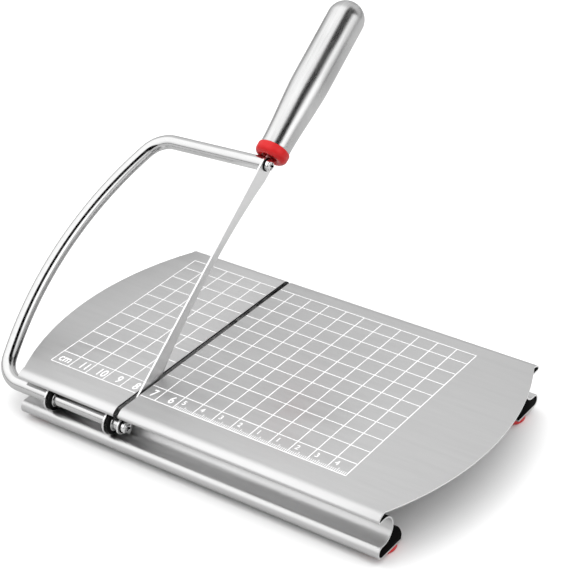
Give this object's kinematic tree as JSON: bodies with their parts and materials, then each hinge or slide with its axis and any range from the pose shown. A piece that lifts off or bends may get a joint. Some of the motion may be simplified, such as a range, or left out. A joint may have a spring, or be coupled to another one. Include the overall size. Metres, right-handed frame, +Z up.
{
  "type": "cheese slicer",
  "caption": "Folded steel cutting board with a blade slot, and a blade with a grip in a rod bow that hinges in the board's front rail.",
  "frame": {"origin": "on the surface that the feet stand on, under the middle of the whole object's box at rest", "axes": "+X along the hinge from the bow's arm to the free side, +Y from the hinge towards the grip, +Z up"},
  "size_m": [0.2321, 0.1944, 0.1521],
  "materials": {
    "board_steel": "fine satin, brushed along the hinge",
    "rod_steel": "polished stainless rod",
    "blade_steel": "fine satin with bright edges",
    "bracket_steel": "bright pressed plate",
    "screw_steel": "polished, cross recess",
    "grip_steel": "satin, brushed along the grip",
    "black_plastic": "glossy black moulding",
    "bush_plastic": "black moulding",
    "black_washer": "black washer",
    "red_plastic": "glossy red moulding",
    "red_rubber": "red rubber",
    "core_plastic": "dark red plug inside the grip"
  },
  "bodies": {
    "root": {"board_sheet": "board_steel", "bush_left": "bush_plastic", "bush_right": "bush_plastic", "foot_front_left": "red_rubber", "foot_front_right": "red_rubber", "foot_rear_left": "red_rubber", "foot_rear_right": "red_rubber", "hinge_bracket_left": "bracket_steel", "hinge_bracket_right": "bracket_steel", "rail_end_cap_front_left": "black_plastic", "rail_end_cap_front_right": "black_plastic", "rail_end_cap_rear_left": "black_plastic", "rail_end_cap_rear_right": "black_plastic", "roll_plug_front_left": "black_plastic", "roll_plug_front_right": "black_plastic", "roll_plug_rear_left": "black_plastic", "roll_plug_rear_right": "black_plastic"},
    "bow": {"bow_rod": "rod_steel", "blade": "blade_steel", "pivot_washer": "black_washer", "pivot_screw": "screw_steel", "top_washer": "black_washer", "top_screw": "screw_steel", "handle_shell": "grip_steel", "handle_collar": "red_plastic", "handle_core": "core_plastic"}
  },
  "joints": [
    {"name": "bow_hinge", "type": "hinge", "parent": "root", "child": "bow", "pos_m": [0, -0.09117, 0.0151], "axis": [1, 0, 0], "range_deg": [-30, 60]}
  ]
}
